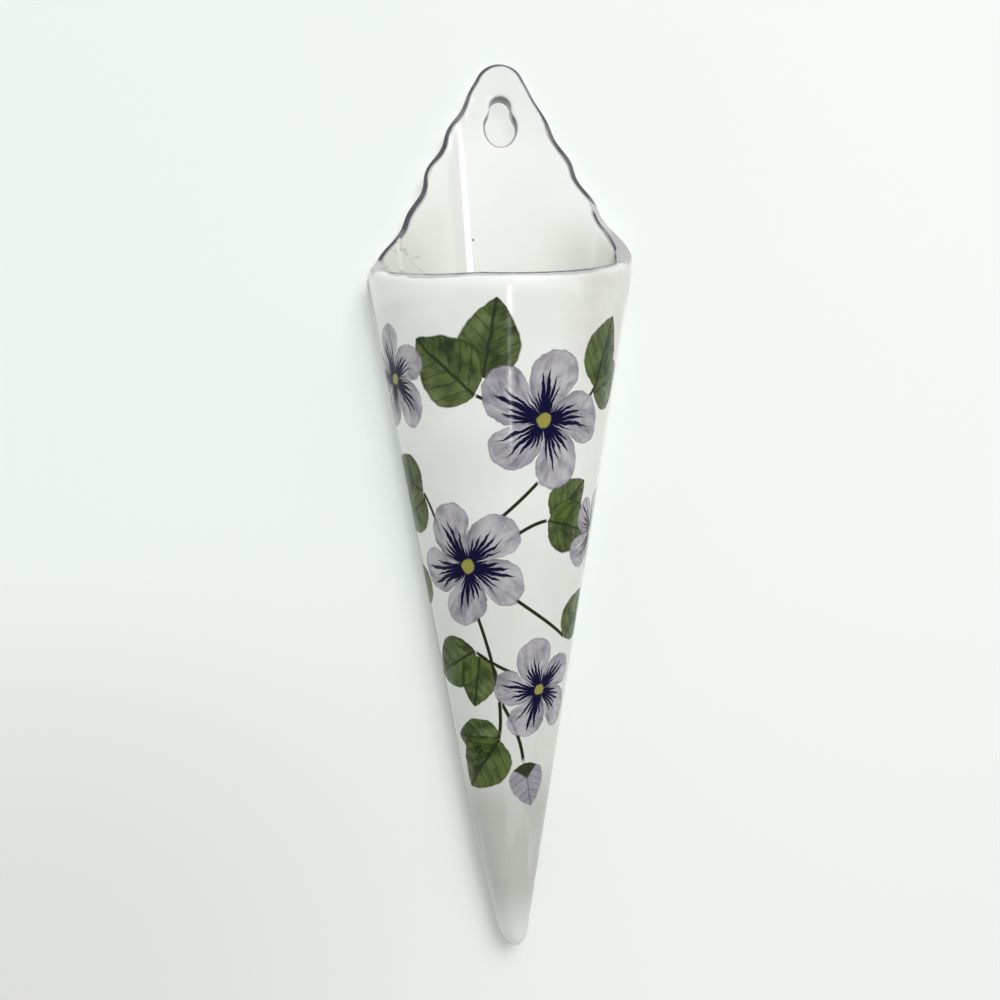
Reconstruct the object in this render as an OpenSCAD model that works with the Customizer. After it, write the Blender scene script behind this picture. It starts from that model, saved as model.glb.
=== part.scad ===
// Hanging wall vase: a tapering clay pocket closed onto a flat back slab that hangs on one screw.
// Wall plane is y = 0, the front looks towards -Y, up is +Z.
// The origin is the centre of the round part of the hanging hole, on the wall plane.
// Five pieces: back slab, front wall, solid tip, and a seam coil in each inside corner.

/* [Overall] */
// Crest above the hole centre
crest_top = 18.7; // [17:0.1:21]
// Tip below the hole centre
tip_drop = 241; // [220:1:260]
// Half angle between the side seams
seam_angle = 10; // [9.6:0.1:10.4]
// Tapering body to the right of the hole centre
body_x = -1.2; // [-2:0.1:1]

/* [Back slab] */
// Slab thickness at the seams
slab_t = 7; // [6:0.5:8]
// Dish of the front face, as an angle from the lower end
dish_angle = 0.38; // [0.2:0.02:0.5]
// Slab edge standing out past the front wall at the corners
ledge = 0.6; // [0.2:0.1:1]
// Radius of the rounded crest
cap_r = 7.5; // [7:0.1:8.5]
// Slope of the crest flanks off the vertical
flank_angle = 28.6; // [27:0.2:29]
// Waves along the flanks
wave_pitch = 12.4; // [11:0.2:14]
// Height of those waves
wave_amp = 0.6; // [0.3:0.05:0.9]
// First left wave top, down from the crest
wave_left = 19.5; // [18:0.5:21]
// First right wave top, down from the crest
wave_right = 16.2; // [14:0.2:18]
// Flare of the flanks towards the corners
corner_flare = 2; // [1:0.1:2.4]
// Softening where flank and seam meet
corner_soft = 1.8; // [1:0.2:3]

/* [Hanging hole] */
// Radius of the lower, wide part
hole_r = 4.6; // [4.4:0.1:4.9]
// Radius of the upper slot
slot_r = 3.1; // [2.9:0.1:3.2]
// Slot end above the hole centre
slot_rise = 5.8; // [5.4:0.2:6.4]
// Width of the hole's softened front edge
hole_soft = 0.8; // [0.4:0.1:1]

/* [Front wall] */
// Wall thickness at the seams
wall_t = 4.1; // [3.6:0.1:4.6]
// Lean of the front towards the slab
lean = 1.5; // [1:0.1:2]
// Inner edge of the rim at the front, below the hole centre
rim_drop = 49.9; // [46:0.1:54]
// Rise of the rim towards the slab
rim_tilt = 20; // [16:0.5:24]
// Sweep of the rim up onto the slab
sweep_r = 12; // [9:0.5:14]

/* [Tip and coils] */
// Radius of the rounded tip
nose_r = 4.9; // [4.4:0.1:5.2]
// Floor of the pocket above the tip
floor_rise = 29; // [26:0.5:32]
// Rounding of the slab's rear lower edge
heel_r = 5; // [3:0.5:6]
// Half angle of the rounding left by the coils
coil_angle = 1.6; // [1.3:0.1:1.9]

/* [Hidden] */
$fn = 96;
// Size of the cutting blocks, and how far a cut runs past a face
reach = 120;
past = 1;
// Points of the outline: step down the flanks, last height, and turns round the crest
outline_step = 1.25;
outline_low = -68;
cap_turns = 8;
// The waves grow from nothing over this length below the crest
wave_ramp = 10;
// Height of the corners where flank and seam meet
corner_z = -41;
// The flare keeps to the last stretch before the corners
flare_power = 8;
// The apex is the point where both seams and the outside of the front wall would meet
slab_angle = atan(tan(seam_angle) + ledge / (corner_z + tip_drop));
nose_up = nose_r / sin(slab_angle);
apex_z = nose_r - tip_drop - nose_up;
floor_z = floor_rise - tip_drop;
// Outside and inside of the front wall are cones of one half angle, leant by the same amount
cone_angle = acos(cos(seam_angle) * cos(lean));
inner_z = apex_z + wall_t / sin(seam_angle);
front_angle = cone_angle - lean;
rim_y = -slab_t - (-rim_drop - inner_z) * tan(front_angle);
// The rim's slope meets the slab here and is swept up by sweep_r
rim_back_z = -rim_drop + (-slab_t - rim_y) * tan(rim_tilt);
sweep_leg = sweep_r / tan((90 + rim_tilt) / 2);
// The sweep cuts into the rim and slab by this much, so that no sliver is left where they meet
sweep_bite = 0.03;
// Foot of the coils' rounding on the slab and on the wall
coil_foot = acos((cos(cone_angle - coil_angle) + sin(coil_angle) * sin(lean)) / (cos(coil_angle) * cos(lean)));
coil_side = sin(cone_angle) * cos(coil_angle) * cos(coil_foot) - sin(coil_angle) * cos(lean);
coil_fore = sin(cone_angle) * sin(coil_angle) + sin(coil_angle) * sin(lean);
coil_top = atan(coil_fore / coil_side);
// The coils end in blunt feet a little short of where their rounding runs out
foot_short = 0.35;
// Dish cone: it leaves the slab's face along two lines just inside the coils
dish_gap = 0.2;
dish_edge = coil_foot - dish_gap;
dish_lean = atan((cos(dish_angle) - cos(dish_edge)) / sin(dish_angle));
dish_half = dish_lean + dish_angle;
// Slab thickness at the hanging hole
face_t = slab_t + inner_z * tan(dish_angle);
flank_slope = tan(flank_angle);
flank_start = cap_r * (1 / cos(flank_angle) - flank_slope);
cap_drop = cap_r * (1 - sin(flank_angle));

function seam_w(z) = (z - apex_z) * tan(slab_angle);
function wave_w(d, first) = wave_amp * cos(360 * (d - first) / wave_pitch);
function ramp(d) = min(1, max(0, (d - cap_drop) / wave_ramp));
function flare_w(d) = corner_flare * pow(max(0, d) / (crest_top - corner_z), flare_power);
function flank_w(d, first) = flank_start + flank_slope * d + flare_w(d) + ramp(d) * wave_w(d, first);
function lesser(a, b) = (a + b - sqrt((a - b) * (a - b) + corner_soft * corner_soft)) / 2;
// Half width on one side, which is 1 for the right and -1 for the left
function edge_w(z, side, first) = lesser(flank_w(crest_top - z, first), seam_w(z) + side * body_x);

flank_zs = [for (z = [outline_low : outline_step : crest_top - cap_drop]) z];
nose_tan_z = apex_z + nose_up * cos(slab_angle) * cos(slab_angle);
right_side = [for (z = flank_zs) [edge_w(z, 1, wave_right), z]];
left_side = [for (i = [len(flank_zs) - 1 : -1 : 0])
    [-edge_w(flank_zs[i], -1, wave_left), flank_zs[i]]];
cap_span = 90 - flank_angle;
cap_pts = [for (i = [0 : cap_turns])
    let (a = cap_span * (1 - 2 * i / cap_turns))
    [cap_r * sin(a), crest_top - cap_r + cap_r * cos(a)]];
nose_pts = [for (side = [-1, 1]) [body_x + side * seam_w(nose_tan_z), nose_tan_z]];

// Which piece to draw

// Face outline of the slab in x and z
module slab_outline() {
    polygon(concat(right_side, cap_pts, left_side, nose_pts));
    translate([body_x, apex_z + nose_up])
        circle(r = nose_r);
}

// Cone on the leant axis from the slab's front face, apex at height z0
module leant_cone(z0, height) {
    translate([body_x, -slab_t, z0])
        rotate([-lean, 0, 0])
            rotate([0, 0, 90])
                cylinder(h = height, r1 = 0, r2 = height * tan(cone_angle));
}

// Everything in front of the slab's face between two heights, inside the slab's outline
module front_space(low, high) {
    intersection() {
        translate([-reach / 2, -reach - slab_t, low])
            cube([reach, reach, high - low]);
        rotate([90, 0, 0])
            linear_extrude(reach)
                slab_outline();
    }
}

// Air above the sloping rim, swept up where it reaches the slab
module rim_air() {
    run = reach / 2;
    rotate([90, 0, 90])
        translate([0, 0, -reach / 2])
            linear_extrude(reach)
                difference() {
                    polygon([
                        [-slab_t + past, rim_back_z],
                        [-slab_t, rim_back_z],
                        [-slab_t - run, rim_back_z - run * tan(rim_tilt)],
                        [-slab_t - run, reach],
                        [-slab_t + past, reach]
                    ]);
                    difference() {
                        polygon([
                            [-slab_t + past, rim_back_z - past],
                            [-slab_t + past, rim_back_z + sweep_leg],
                            [-slab_t, rim_back_z + sweep_leg],
                            [-slab_t - sweep_leg * cos(rim_tilt), rim_back_z - sweep_leg * sin(rim_tilt)]
                        ]);
                        translate([-slab_t - sweep_r, rim_back_z + sweep_leg])
                            circle(r = sweep_r + sweep_bite);
                    }
                }
}

// Half profile of the hanging hole, straight from the wall plane and softened at the dished face
function hole_profile(r) = [
    [r, -past],
    [r, face_t - hole_soft],
    [r + hole_soft + past, face_t + past]
];

// One round end of the hanging hole
module hole_end(z0, r) {
    translate([0, 0, z0])
        rotate([90, 0, 0])
            rotate_extrude()
                polygon(concat([[0, -past]], hole_profile(r), [[0, face_t + past]]));
}

// Hanging hole: wide round part, narrow slot end and the slot between them
module hanging_hole() {
    half = hole_profile(slot_r);
    hole_end(0, hole_r);
    hole_end(slot_rise, slot_r);
    mirror([0, 1, 0])
        linear_extrude(slot_rise)
            polygon(concat(half, [for (i = [len(half) - 1 : -1 : 0]) [-half[i][0], half[i][1]]]));
}

module back_slab() {
    color([0.90, 0.91, 0.88])
        difference() {
            rotate([90, 0, 0])
                linear_extrude(slab_t)
                    slab_outline();
            // Shallow dish of the front face
            translate([body_x, -slab_t, inner_z])
                rotate([dish_lean, 0, 0])
                    cylinder(h = 3 * reach, r1 = 0, r2 = 3 * reach * tan(dish_half));
            hanging_hole();
            // Rounded rear edge of the low end
            difference() {
                translate([body_x - nose_r - past, -heel_r, -tip_drop - past])
                    cube([2 * (nose_r + past), heel_r + past, heel_r + past]);
                translate([body_x - nose_r - 2 * past, -heel_r, heel_r - tip_drop])
                    rotate([0, 90, 0])
                        cylinder(h = 2 * nose_r + 4 * past, r = heel_r);
            }
        }
}

module front_wall() {
    color([0.84, 0.86, 0.83])
        difference() {
            intersection() {
                leant_cone(apex_z, 2 * reach);
                front_space(floor_z, 0);
            }
            leant_cone(inner_z, 2 * reach);
            rim_air();
        }
}

module tip_plug() {
    ball_up = nose_r / sin(cone_angle);
    join_up = ball_up * cos(cone_angle) * cos(cone_angle);
    color([0.78, 0.80, 0.77])
        intersection() {
            translate([body_x, -slab_t, apex_z])
                rotate([-lean, 0, 0]) {
                    translate([0, 0, join_up])
                        cylinder(h = reach, r1 = join_up * tan(cone_angle), r2 = (join_up + reach) * tan(cone_angle));
                    translate([0, 0, ball_up])
                        sphere(r = nose_r);
                }
            translate([-reach / 2, -reach - slab_t, floor_z - reach])
                cube([reach, reach, reach]);
        }
}

// Clay in the inside corner between slab and wall, right side, on the body's own middle line
module corner_clay() {
    long = 2 * reach;
    difference() {
        intersection() {
            translate([-body_x, 0, 0])
                leant_cone(inner_z, long);
            translate([0, -reach - slab_t, floor_z])
                cube([reach, reach, long]);
            // Outward of the foot on the slab
            translate([0, 0, inner_z])
                rotate([0, coil_foot + foot_short, 0])
                    translate([0, -reach, 0])
                        cube([reach, reach, long]);
            // Behind the foot on the wall
            translate([0, -slab_t, inner_z])
                rotate([coil_top - foot_short, 0, 0])
                    cube([reach, reach, long]);
        }
        translate([0, -slab_t, inner_z])
            rotate([0, coil_foot, 0])
                rotate([coil_angle, 0, 0])
                    cylinder(h = long, r1 = 0, r2 = long * tan(coil_angle));
    }
}

module right_seam_coil() {
    color([0.80, 0.78, 0.72])
        difference() {
            intersection() {
                translate([body_x, 0, 0])
                    corner_clay();
                front_space(floor_z, 0);
            }
            rim_air();
        }
}

module left_seam_coil() {
    color([0.80, 0.78, 0.72])
        difference() {
            intersection() {
                translate([body_x, 0, 0])
                    mirror([1, 0, 0])
                        corner_clay();
                front_space(floor_z, 0);
            }
            rim_air();
        }
}

back_slab();
front_wall();
tip_plug();
left_seam_coil();
right_seam_coil();
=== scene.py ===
import math
import bpy
import bmesh
from mathutils import Matrix, Vector, noise


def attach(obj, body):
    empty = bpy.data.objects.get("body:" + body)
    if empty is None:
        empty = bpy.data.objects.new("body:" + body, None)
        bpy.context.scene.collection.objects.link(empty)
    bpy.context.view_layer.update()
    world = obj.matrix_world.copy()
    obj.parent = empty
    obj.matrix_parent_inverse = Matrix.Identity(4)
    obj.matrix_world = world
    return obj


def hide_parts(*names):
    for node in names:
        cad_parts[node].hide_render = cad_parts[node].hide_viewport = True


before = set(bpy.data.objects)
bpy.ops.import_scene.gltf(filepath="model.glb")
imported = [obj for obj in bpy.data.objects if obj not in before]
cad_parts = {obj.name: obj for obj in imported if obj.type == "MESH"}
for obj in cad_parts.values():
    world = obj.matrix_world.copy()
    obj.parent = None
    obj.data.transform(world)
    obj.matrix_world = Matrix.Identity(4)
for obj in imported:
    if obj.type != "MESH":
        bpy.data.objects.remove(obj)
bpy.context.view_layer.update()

# Setting: the vase hangs on a plain pale plaster wall, lit by a large soft lamp from the upper right.
# A low strip lamp makes the thin bright line down the front and a side one the streak on the slab's
# fold. A soft lamp lights the rear, and the wall is left out of pictures taken from behind it.
WALL_COLOUR = (0.880, 0.910, 0.885, 1)
# In view the wall is painted darker to the left and lower down: painted shade, as the light falls off
# there.
WALL_IN_VIEW, WALL_LEFT_PAINTED_SHADE = (0.925, 0.955, 0.930, 1), (0.890, 0.930, 0.900, 1)
WALL_LOW_PAINTED_SHADE, WALL_LOW_LEFT_PAINTED_SHADE = (0.86, 0.87, 0.85, 1), (0.740, 0.750, 0.730, 1)
BACKDROP, AIR_LEVEL = (0.66, 0.68, 0.66, 1), 0.56
KEYHOLE_MIDDLE_Z = 0.003


def link(obj):
    bpy.context.scene.collection.objects.link(obj)
    return obj


def mesh_of(bm, name):
    """The finished shape as a mesh of that name."""
    mesh = bpy.data.meshes.new(name)
    bm.to_mesh(mesh)
    bm.free()
    return mesh


def bare_tree(owner):
    """The emptied node tree of a new material or of the world."""
    owner.use_nodes = True
    owner.node_tree.nodes.clear()
    return owner.node_tree


def feed(tree, socket, value):
    """Links a value that comes from another socket, and sets a plain one."""
    if isinstance(value, bpy.types.NodeSocket):
        tree.links.new(value, socket)
    elif value is not None:
        socket.default_value = value


def put(tree, kind, *values, **settings):
    """A new node with its properties set and its inputs fed in order by sockets or plain values."""
    node = tree.nodes.new("ShaderNode" + kind)
    for name, value in settings.items():
        setattr(node, name, value)
    for socket, value in zip(node.inputs, values):
        feed(tree, socket, value)
    return node


def calc(tree, operation, *values):
    return put(tree, "Math", *values, operation=operation).outputs[0]


def product(tree, first, *others):
    for value in others:
        first = calc(tree, "MULTIPLY", first, value)
    return first


def fade(tree, value, start, end):
    """0 to 1 as value goes from start to end, eased at both ends."""
    return put(tree, "MapRange", value, start, end, interpolation_type="SMOOTHSTEP").outputs[0]


def coats(tree, colour, *layers):
    """Coats laid over a colour in turn, each given as how much of it there is and its own colour."""
    for amount, top in layers:
        node = tree.nodes.new("ShaderNodeMix")
        node.data_type = "RGBA"
        for index, value in ((0, amount), (6, colour), (7, top)):
            feed(tree, node.inputs[index], value)
        colour = node.outputs[2]
    return colour


def in_view(tree):
    """1 for a ray that ends in the picture: seen straight, in a reflection or through glass."""
    ray = put(tree, "LightPath").outputs
    seen = calc(tree, "MAXIMUM", ray["Is Camera Ray"], ray["Is Transmission Ray"])
    return calc(tree, "MAXIMUM", seen, ray["Is Glossy Ray"])


bm = bmesh.new()
bmesh.ops.create_grid(bm, x_segments=1, y_segments=1, size=1.5)
bmesh.ops.rotate(bm, verts=bm.verts, matrix=Matrix.Rotation(math.radians(90), 3, "X"))
bmesh.ops.translate(bm, verts=bm.verts, vec=(0, 0.0006, -0.1))
plaster_mesh = mesh_of(bm, "Plaster_wall")
plaster_wall = link(bpy.data.objects.new("Plaster_wall", plaster_mesh))
plaster = bpy.data.materials.new("plaster")
tree = bare_tree(plaster)
x, y, z = put(tree, "SeparateXYZ", put(tree, "TexCoord").outputs["Object"]).outputs
# Painted shade: the wall's colour in view darkens to the left, and most at the lower left.
to_left, to_low = fade(tree, x, 0.130, -0.140), fade(tree, z, -0.110, -0.250)
low_left_painted_shade = product(tree, calc(tree, "POWER", to_left, 2.4), to_low)
shown = coats(tree, WALL_IN_VIEW, (to_left, WALL_LEFT_PAINTED_SHADE), (low_left_painted_shade, WALL_LOW_LEFT_PAINTED_SHADE),
              (product(tree, to_low, 0.4), WALL_LOW_PAINTED_SHADE))
seen = in_view(tree)
matt = put(tree, "BsdfDiffuse", coats(tree, WALL_COLOUR, (seen, shown)), 0.5)
# Behind the keyhole the wall glows in view as brightly as round the vase: painted light over the slab's
# shadow there
aside = calc(tree, "POWER", x, 2.0)
above = calc(tree, "POWER", calc(tree, "SUBTRACT", z, KEYHOLE_MIDDLE_Z), 2.0)
off = calc(tree, "POWER", calc(tree, "ADD", aside, above), 0.5)
keyhole_painted_light = product(tree, put(tree, "MapRange", off, 0.0085, 0.0070).outputs[0], seen, 0.75)
lit = put(tree, "MixShader", keyhole_painted_light, matt.outputs[0], put(tree, "Emission", shown, 1.0).outputs[0])
seen_through = calc(tree, "MAXIMUM", put(tree, "NewGeometry").outputs["Backfacing"],
                    put(tree, "LightPath").outputs["Is Shadow Ray"])
clear = put(tree, "BsdfTransparent")
skin = put(tree, "MixShader", seen_through, lit.outputs[0], clear.outputs[0])
put(tree, "OutputMaterial", skin.outputs[0])
plaster_mesh.materials.append(plaster)

world = bpy.data.worlds.new("Studio_air")
bpy.context.scene.world = world
tree = bare_tree(world)
air = put(tree, "Background", (1, 1, 1, 1), AIR_LEVEL)
backdrop = put(tree, "Background", BACKDROP, 1)
sky = put(tree, "MixShader", in_view(tree), air.outputs[0], backdrop.outputs[0])
put(tree, "OutputWorld", sky.outputs[0])


def lamp(name, place, aim, width, height, watts, mirrored=True):
    """An area lamp that may be left out of the reflections in the glaze."""
    data = bpy.data.lights.new(name, "AREA")
    data.shape = "RECTANGLE"
    data.size, data.size_y, data.energy = width, height, watts
    obj = link(bpy.data.objects.new(name, data))
    turn = (Vector(aim) - Vector(place)).to_track_quat("-Z", "Y")
    obj.matrix_world = Matrix.Translation(place) @ turn.to_matrix().to_4x4()
    obj.visible_glossy = mirrored


lamp("Softbox", (0.38, -1.24, 0.72), (0, 0, -0.1), 0.8, 0.8, 10.8, mirrored=False)
lamp("Strip_lamp", (0.085, -1.0, -0.22), (0, 0, -0.22), 0.014, 0.24, 0.50)
lamp("Streak_lamp", (0.27, -1.0, 0.27), (0, 0, 0.0), 0.024, 0.24, 0.55)
lamp("Rear_softbox", (-0.4, 1.2, 0.5), (0, 0, -0.1), 0.8, 0.8, 8)

CAMERA_PLACE = (-0.025, -0.300, -0.1103)
CAMERA_YAW, CAMERA_ROLL = math.radians(-4.45), math.radians(1.0)
turn = Matrix.Rotation(CAMERA_YAW, 3, "Z") @ Matrix.Rotation(CAMERA_ROLL, 3, "Y")
right, forward, up = turn.col
camera = bpy.data.cameras.new("Camera")
camera.lens, camera.sensor_width = 36.07, 36
camera_obj = link(bpy.data.objects.new("Camera", camera))
facing = Matrix((right, up, -forward)).transposed().to_4x4()
camera_obj.matrix_world = Matrix.Translation(CAMERA_PLACE) @ facing
bpy.context.scene.camera = camera_obj
bpy.context.scene.view_settings.view_transform = "Standard"

# Back slab: one flat sheet of clay cut to a kite, its two upper flanks waved with a finger, with a
# keyhole for the screw. Its face is slightly dished, and its edges are rounded by sponge and glaze.
CREST_TOP, TIP_DROP, CORNER_Z = 0.0187, 0.241, -0.041
SLAB_T, BODY_X = 0.007, -0.0012
SEAM = math.radians(10)
SLAB_ANGLE = math.atan(math.tan(SEAM) + 0.0006 / (CORNER_Z + TIP_DROP))
NOSE_R, NOSE_STEPS = 0.0049, 10
NOSE_UP = NOSE_R / math.sin(SLAB_ANGLE)
APEX_Z = NOSE_R - TIP_DROP - NOSE_UP
INNER_Z = APEX_Z + 0.0041 / math.sin(SEAM)
FLANK_DEGREES, CAP_R = 28.6, 0.0075
FLANK = math.radians(FLANK_DEGREES)
CAP_DROP = CAP_R * (1 - math.sin(FLANK))
CAP_STEPS, FLANK_STEP = 12, 0.0011
DISH_SLOPE, COIL_FOOT = math.tan(math.radians(0.38)), math.radians(7.92)
HOLE_R, SLOT_R, SLOT_RISE = 0.0046, 0.0031, 0.0058
# The keyhole's low end was stretched as it was cut, and its waist is soft
HOLE_STRETCH, HOLE_STEPS, WAIST, WAIST_DEPTH = 1.27, 32, 0.0016, 0.0004
WAVE_PITCH, WAVE_AMP = 0.0124, 0.0006
# By side, 1 for the right flank and -1 for the left: where the waves start and how far they take to
# grow, how much the flank flares to the corner, and how far the corner is rounded
WAVE_FIRST, WAVE_GROWTH = {1: 0.0162, -1: 0.0195}, {1: 0.026, -1: 0.012}
FLARE, CORNER_ROUND = {1: 0.006, -1: 0.002}, {1: 0.0036, -1: 0.0018}
LEFT_CUT_IN = 0.0017
# The fold is a soft upright step in the face: its place at a height, its lean and its depth
FOLD_X, FOLD_Z, FOLD_LEAN, FOLD_DEPTH = -0.0118, -0.003, 0.056, 0.000112


def ease(value, start, end):
    t = min(1, max(0, (value - start) / (end - start)))
    return t * t * (3 - 2 * t)


def edge_w(z, side):
    """Half width of the slab at height z, to the right for side 1 and to the left for side -1."""
    d = CREST_TOP - z
    start = CAP_R * (1 / math.cos(FLANK) - math.tan(FLANK))
    grown = min(1, max(0, (d - CAP_DROP) / WAVE_GROWTH[side]))
    wave = WAVE_AMP * math.cos(math.tau * (d - WAVE_FIRST[side]) / WAVE_PITCH)
    flare = FLARE[side] * (max(0, d) / (CREST_TOP - CORNER_Z)) ** 8
    flank = start + math.tan(FLANK) * d + flare + grown * wave
    if side < 0:
        flank -= LEFT_CUT_IN * ease(z, -0.010, -0.026)
    seam = (z - APEX_Z) * math.tan(SLAB_ANGLE) + side * BODY_X
    return (flank + seam - math.sqrt((flank - seam) ** 2 + CORNER_ROUND[side] ** 2)) / 2


def unevenness(x, z, size=0.00018):
    """Small hollows that a hand leaves in soft clay, never above the true surface."""
    small = 0.5 + 0.5 * noise.noise((x * 55, 3.1, z * 40))
    broad = 1 + noise.noise((x * 20, 7.7, z * 14))
    return size * small + size * 0.5 * broad


def keyhole_r(angle):
    """Distance from the keyhole's middle to its softly waisted outline."""
    low, high = 0, 0.02
    for _ in range(30):
        r = (low + high) / 2
        x, z = r * math.sin(angle), SLOT_RISE / 2 - r * math.cos(angle)
        disc = math.hypot(x, z) - HOLE_R
        slot = math.hypot(x, z - min(SLOT_RISE, max(0, z))) - SLOT_R
        soft = max(WAIST - abs(disc - slot), 0) / WAIST
        inside = min(disc, slot) - soft * soft * WAIST_DEPTH < 0
        low, high = (r, high) if inside else (low, r)
    return low


flank_zs = [CREST_TOP - CAP_DROP - FLANK_STEP * k for k in range(1, 78)]
outer, hole = {}, {}
for side in (1, -1):
    cap = []
    for k in range(CAP_STEPS + 1):
        a = math.radians(90 * k / CAP_STEPS) * (90 - FLANK_DEGREES) / 90
        cap.append((side * CAP_R * math.sin(a), CREST_TOP - CAP_R + CAP_R * math.cos(a)))
    cap[0] = (0, cap[0][1])
    first, last = math.pi / 2 + SLAB_ANGLE, math.asin(side * -BODY_X / NOSE_R)
    nose = []
    for k in range(NOSE_STEPS + 1):
        a = first + (last - first) * k / NOSE_STEPS
        nose.append((BODY_X + side * NOSE_R * math.sin(a), APEX_Z + NOSE_UP - NOSE_R * math.cos(a)))
    nose[-1] = (0, nose[-1][1])
    outer[side] = cap + [(side * edge_w(z, side), z) for z in flank_zs] + nose
    hole[side] = []
    for k in range(HOLE_STEPS + 1):
        a = math.pi * k / HOLE_STEPS
        r = keyhole_r(a)
        x, z = side * r * math.sin(a), SLOT_RISE / 2 - r * math.cos(a)
        hole[side].append((0 if k in (0, HOLE_STEPS) else x, z * (HOLE_STRETCH if z < 0 else 1)))

bm = bmesh.new()
for side in (1, -1):
    verts = [bm.verts.new((x, -SLAB_T, z)) for x, z in outer[side] + hole[side]]
    bm.faces.new(verts if side == 1 else verts[::-1])
bmesh.ops.remove_doubles(bm, verts=bm.verts, dist=1e-6)
grown = bmesh.ops.extrude_face_region(bm, geom=bm.faces[:], use_keep_orig=True)["geom"]
rear = [g for g in grown if isinstance(g, bmesh.types.BMVert)]
bmesh.ops.translate(bm, verts=rear, vec=(0, SLAB_T, 0))
bmesh.ops.recalc_face_normals(bm, faces=bm.faces)


def by_keyhole(x, z):
    return math.hypot(x, z - KEYHOLE_MIDDLE_Z) < 0.0095


def rim_edges(y, in_hole):
    """Edges round the outline, or round the keyhole, at one face of the slab."""
    found = []
    for edge in bm.edges:
        a, b = (v.co for v in edge.verts)
        if abs(a.y - y) + abs(b.y - y) > 1e-6 or len(edge.link_faces) != 2:
            continue
        if edge.calc_face_angle(0) > 1 and in_hole == by_keyhole(a.x, a.z):
            found.append(edge)
    return found


for y, in_hole, width, segments in ((-SLAB_T, False, 0.0014, 6), (0, False, 0.0011, 3),
                                    (-SLAB_T, True, 0.0011, 5), (0, True, 0.0004, 2)):
    bmesh.ops.bevel(bm, geom=rim_edges(y, in_hole), offset=width, offset_type="OFFSET",
                    affect="EDGES", segments=segments, profile=0.5, material=-1, clamp_overlap=False)


def planes(way, start, step, count):
    """Evenly spaced planes that cut square to a way."""
    return [(way, start + step * k) for k in range(count)]


def cut(geom, way, at):
    bmesh.ops.bisect_plane(bm, geom=geom, dist=1e-6, plane_co=Vector(way) * at, plane_no=way)


# The face is cut to a grid, finer along the fold and where the brushed line leaves the right flank
ACROSS, UPWARDS = (1, 0, 0), (0, 0, 1)
for way, at in (planes(ACROSS, -0.0375, 0.0025, 31) + planes(UPWARDS, -0.236, 0.004, 64)
                + planes(ACROSS, -0.0140, 0.0003, 24)):
    cut(bm.verts[:] + bm.edges[:] + bm.faces[:], way, at)
for way, at in planes(ACROSS, 0.0210, 0.0005, 25) + planes(UPWARDS, -0.0370, 0.0005, 33):
    near = []
    for face in bm.faces:
        middle = face.calc_center_median()
        if middle.x > 0.0205 and middle.y < -0.005 and -0.040 < middle.z < -0.019:
            near.append(face)
    edges = list(dict.fromkeys(e for f in near for e in f.edges))
    verts = list(dict.fromkeys(v for f in near for v in f.verts))
    cut(near + edges + verts, way, at)


def nearest_on_segment(p, a, b):
    t = min(1, max(0, (p - a).dot(b - a) / max(1e-12, (b - a).length_squared)))
    return a + (b - a) * t


def outline_gap(x, z, points):
    """Distance in the slab's plane from a line of points, up to 7 mm."""
    at, gap, box = Vector((x, z)), 0.007, 0.0085
    for start, end in zip(points, points[1:]):
        if abs(start[1] - z) < box and abs(start[0] - x) < box:
            gap = min(gap, (at - nearest_on_segment(at, Vector(start), Vector(end))).length)
    return gap


def corner_line(z):
    """How far in from the outline the dark line lies where it leaves the flank for the right corner."""
    return 0.0017 + 0.0021 * ease(z, -0.0310, -0.0390) + 0.0011 * ease(z, -0.0362, -0.0392)


def drawn_in(at, rate):
    """A place on a brushed line, where past its dark edge at 1 the wash goes by faster."""
    return at if at < 1 else 1 + rate * (at - 1)


def crest_line(x, y, z, gap):
    """Where the brushed line lies: under 1 it is dark, from 1 to 2 a thin wash, above 2 bare glaze."""
    thick = 1 + 0.4 * noise.noise((x * 90, 0.5, z * 90))
    # On the side face the line keeps to the front edge, the more so where it runs out
    side_gap = gap + max(0, y + 0.0035 + 0.0030 * ease(z, -0.006, -0.022)) * 0.4
    back_face = 9 * ease(y, -0.0016, -0.0006)
    if x <= 0:
        width = 0.0012 + 0.0007 * ease(z, -0.014, -0.022) * ease(z, -0.036, -0.030)
        return drawn_in(side_gap / thick / width, 4) + 4 * ease(z, -0.034, -0.043) + back_face
    # At the right it thins to a wash that widens to the pocket's corner, with a dark inner edge
    width = 0.0011 + 0.0008 * ease(z, 0.006, -0.004) * ease(z, -0.024, -0.014)
    stroke = drawn_in(side_gap / thick / width, 4) + 1.3 * ease(z, -0.0215, -0.0260)
    wash = 1.4 + max(0, gap - corner_line(z)) / 0.0003 + 3 * ease(z, -0.0235, -0.0205)
    inner = 0.3 + abs(gap - corner_line(z)) / 0.0005 + 2 * ease(z, -0.0265, -0.0230)
    return min(stroke, wash, inner if gap < 0.006 else 9) + 4 * ease(z, -0.032, -0.040) + back_face


def keyhole_line(x, y, z):
    """The same for the line brushed round the keyhole, and the wash inside it, which is painted shade,
    darkest on the top of the hole's wall.
    """
    gap = outline_gap(x, z, hole[1 if x >= 0 else -1])
    # Painted shade: the wash inside the keyhole is darkest on the top of its wall
    inside = 0.95 + 0.23 * ease(z, 0.006, 0.000) + 9 * ease(y, -0.0003, 0.0)
    ring = 0.4 + gap / 0.0004 + 2 * ease(z, 0.002, 0.006)
    return inside if y > -0.0058 else min(ring, inside + gap / 0.0002)


def leaning(x, z):
    """The tip is pinched in from the left, so that its point stands a little to the right."""
    pinch = 0.0014 * ease(z, -0.208, -0.238) + 0.0008 * ease(z, -0.2330, -0.2395)
    return x + pinch * ease(x, 0.0045, -0.0045)


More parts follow.
